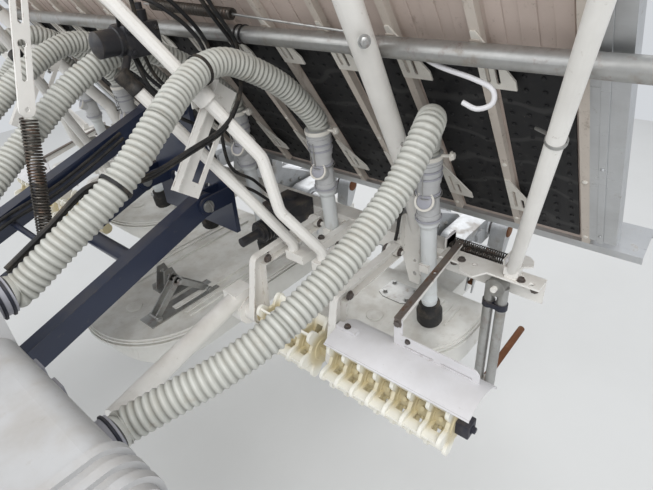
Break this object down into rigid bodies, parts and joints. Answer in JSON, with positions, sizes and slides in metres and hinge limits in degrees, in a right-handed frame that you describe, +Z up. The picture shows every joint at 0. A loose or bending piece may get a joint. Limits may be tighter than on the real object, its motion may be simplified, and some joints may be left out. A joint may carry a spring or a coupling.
{
  "type": "rear planting unit of a riding rice transplanter",
  "caption": "Rear planting unit of a riding rice transplanter: lift links, seedling tray, planting cases, floats, levelling rotors, stands and fertiliser hoses",
  "frame": {"origin": "centre of the front face of the mounting plate", "axes": "+X forward to the vehicle, +Y left, +Z up"},
  "size_m": [1.62, 2.3, 1.2524],
  "materials": {
    "white": "white paint, worn and muddy",
    "ink_blue": "dark blue paint",
    "duct_grey": "moulded, matt",
    "hose_grey": "corrugated, matt",
    "cream": "moulded, satin",
    "zinc": "galvanised",
    "black": "matt",
    "alloy": "cast or drawn, dull",
    "rose": "moulded, rose grey, weathered",
    "float_white": "blown hollow, weathered",
    "dark": "dark grey, oily"
  },
  "bodies": {
    "vehicle_bracket": {"mount_bracket": "ink_blue", "front_pivot_pins": "zinc", "distributor_bracket": "ink_blue", "distributor_housing": "duct_grey", "hose_spigots": "duct_grey", "hoses_front": "hose_grey"},
    "upper_link": {"upper_link": "ink_blue", "hoses_middle": "hose_grey", "assist_spring": "zinc"},
    "lower_link": {"lower_link": "ink_blue"},
    "hitch": {"hitch": "ink_blue", "rear_pivot_pins": "zinc"},
    "planting_frame": {"main_beam": "white", "end_brackets": "white", "planting_case_left": "alloy", "planting_case_centre": "alloy", "planting_case_right": "alloy", "drive_gearbox": "dark", "uprights": "white", "side_pipes": "white", "tray_rail": "alloy", "tray_slides": "white", "gauge_plates": "white", "front_arms": "white", "bent_pipes": "white", "spring_link": "white", "balance_springs": "zinc", "outlet_pipes": "hose_grey", "outlet_boots": "black", "hoses_rear": "hose_grey"},
    "tray": {"tray_back": "rose", "tray_belts": "black", "tray_ribs": "rose", "tray_side_channels": "alloy"},
    "rotary_centre": {"rotary_centre": "alloy"},
    "arms_a_centre": {"arms_a_centre": "alloy"},
    "arms_b_centre": {"arms_b_centre": "alloy"},
    "rotary_left": {"rotary_left": "alloy"},
    "arms_a_left": {"arms_a_left": "alloy"},
    "arms_b_left": {"arms_b_left": "alloy"},
    "rotary_right": {"rotary_right": "alloy"},
    "arms_a_right": {"arms_a_right": "alloy"},
    "arms_b_right": {"arms_b_right": "alloy"},
    "rotor_frame_left": {"rotor_arms_left": "white", "rotor_guard_left": "white", "rotor_drive": "white"},
    "rotor_left": {"rotor_left": "cream"},
    "rotor_frame_right": {"rotor_arms_right": "white", "rotor_guard_right": "white"},
    "rotor_right": {"rotor_right": "cream"},
    "float_centre": {"float_centre": "float_white"},
    "float_left": {"float_left": "float_white"},
    "float_right": {"float_right": "float_white"},
    "stand_left": {"stand_left": "zinc"},
    "stand_right": {"stand_right": "zinc"}
  },
  "joints": [
    {"name": "lift", "type": "hinge", "parent": "vehicle_bracket", "child": "upper_link", "pos_m": [-0.09, 0, 0.146], "axis": [0, 1, 0], "range_deg": [-36, 6], "deforming": ["hoses_front", "hoses_middle", "hoses_rear", "assist_spring"]},
    {"name": "lower_link_pivot", "type": "hinge", "parent": "vehicle_bracket", "child": "lower_link", "pos_m": [-0.09, 0, -0.083], "axis": [0, 1, 0], "range_deg": [-36, 6]},
    {"name": "hitch_level", "type": "hinge", "parent": "upper_link", "child": "hitch", "pos_m": [-0.8907, 0, 0.4], "axis": [0, 1, 0], "range_deg": [-6, 36]},
    {"name": "roll", "type": "hinge", "parent": "hitch", "child": "planting_frame", "pos_m": [-1, 0, 0.092], "axis": [1, 0, 0], "range_deg": [-3, 3]},
    {"name": "tray_slide", "type": "slide", "parent": "planting_frame", "child": "tray", "axis": [0, 1, 0], "range_m": [-0.28, 0]},
    {"name": "rotary_centre_turn", "type": "hinge", "parent": "planting_frame", "child": "rotary_centre", "pos_m": [-1.45, 0, -0.025], "axis": [0, 1, 0], "continuous": true},
    {"name": "arms_a_centre_swing", "type": "hinge", "parent": "rotary_centre", "child": "arms_a_centre", "pos_m": [-1.37, 0, -0.025], "axis": [0, 1, 0], "continuous": true},
    {"name": "arms_b_centre_swing", "type": "hinge", "parent": "rotary_centre", "child": "arms_b_centre", "pos_m": [-1.53, 0, -0.025], "axis": [0, 1, 0], "continuous": true},
    {"name": "rotary_left_turn", "type": "hinge", "parent": "planting_frame", "child": "rotary_left", "pos_m": [-1.45, 0.6, -0.025], "axis": [0, 1, 0], "continuous": true},
    {"name": "arms_a_left_swing", "type": "hinge", "parent": "rotary_left", "child": "arms_a_left", "pos_m": [-1.37, 0.6, -0.025], "axis": [0, 1, 0], "continuous": true},
    {"name": "arms_b_left_swing", "type": "hinge", "parent": "rotary_left", "child": "arms_b_left", "pos_m": [-1.53, 0.6, -0.025], "axis": [0, 1, 0], "continuous": true},
    {"name": "rotary_right_turn", "type": "hinge", "parent": "planting_frame", "child": "rotary_right", "pos_m": [-1.45, -0.6, -0.025], "axis": [0, 1, 0], "continuous": true},
    {"name": "arms_a_right_swing", "type": "hinge", "parent": "rotary_right", "child": "arms_a_right", "pos_m": [-1.37, -0.6, -0.025], "axis": [0, 1, 0], "continuous": true},
    {"name": "arms_b_right_swing", "type": "hinge", "parent": "rotary_right", "child": "arms_b_right", "pos_m": [-1.53, -0.6, -0.025], "axis": [0, 1, 0], "continuous": true},
    {"name": "rotor_height_left", "type": "hinge", "parent": "planting_frame", "child": "rotor_frame_left", "pos_m": [-1.07, 0.53, 0.11], "axis": [0, 1, 0], "range_deg": [-8, 2]},
    {"name": "rotor_turn_left", "type": "hinge", "parent": "rotor_frame_left", "child": "rotor_left", "pos_m": [-0.826, 0.7, -0.046], "axis": [0, 1, 0], "continuous": true},
    {"name": "rotor_height_right", "type": "hinge", "parent": "planting_frame", "child": "rotor_frame_right", "pos_m": [-1.07, -0.53, 0.11], "axis": [0, 1, 0], "range_deg": [-8, 2]},
    {"name": "rotor_turn_right", "type": "hinge", "parent": "rotor_frame_right", "child": "rotor_right", "pos_m": [-0.826, -0.7, -0.046], "axis": [0, 1, 0], "continuous": true},
    {"name": "float_centre_tilt", "type": "hinge", "parent": "planting_frame", "child": "float_centre", "pos_m": [-1.5, 0, -0.098], "axis": [0, 1, 0], "range_deg": [-3, 0]},
    {"name": "float_left_tilt", "type": "hinge", "parent": "planting_frame", "child": "float_left", "pos_m": [-1.5, 0.6, -0.098], "axis": [0, 1, 0], "range_deg": [-3, 0]},
    {"name": "float_right_tilt", "type": "hinge", "parent": "planting_frame", "child": "float_right", "pos_m": [-1.5, -0.6, -0.098], "axis": [0, 1, 0], "range_deg": [-3, 0]},
    {"name": "stand_left_swing", "type": "hinge", "parent": "planting_frame", "child": "stand_left", "pos_m": [-1.102, 0.915, 0.092], "axis": [1, 0, 0], "range_deg": [0, 85]},
    {"name": "stand_right_swing", "type": "hinge", "parent": "planting_frame", "child": "stand_right", "pos_m": [-1.102, -0.915, 0.092], "axis": [-1, 0, 0], "range_deg": [0, 85]}
  ],
  "couplings": [
    {"joint": "lower_link_pivot", "follows": "lift", "ratio": 1},
    {"joint": "hitch_level", "follows": "lift", "ratio": -1},
    {"joint": "arms_a_centre_swing", "follows": "rotary_centre_turn", "ratio": -1},
    {"joint": "arms_b_centre_swing", "follows": "rotary_centre_turn", "ratio": -1},
    {"joint": "rotary_left_turn", "follows": "rotary_centre_turn", "ratio": 1},
    {"joint": "arms_a_left_swing", "follows": "rotary_centre_turn", "ratio": -1},
    {"joint": "arms_b_left_swing", "follows": "rotary_centre_turn", "ratio": -1},
    {"joint": "rotary_right_turn", "follows": "rotary_centre_turn", "ratio": 1},
    {"joint": "arms_a_right_swing", "follows": "rotary_centre_turn", "ratio": -1},
    {"joint": "arms_b_right_swing", "follows": "rotary_centre_turn", "ratio": -1},
    {"joint": "rotor_height_right", "follows": "rotor_height_left", "ratio": 1},
    {"joint": "rotor_turn_right", "follows": "rotor_turn_left", "ratio": 1}
  ]
}
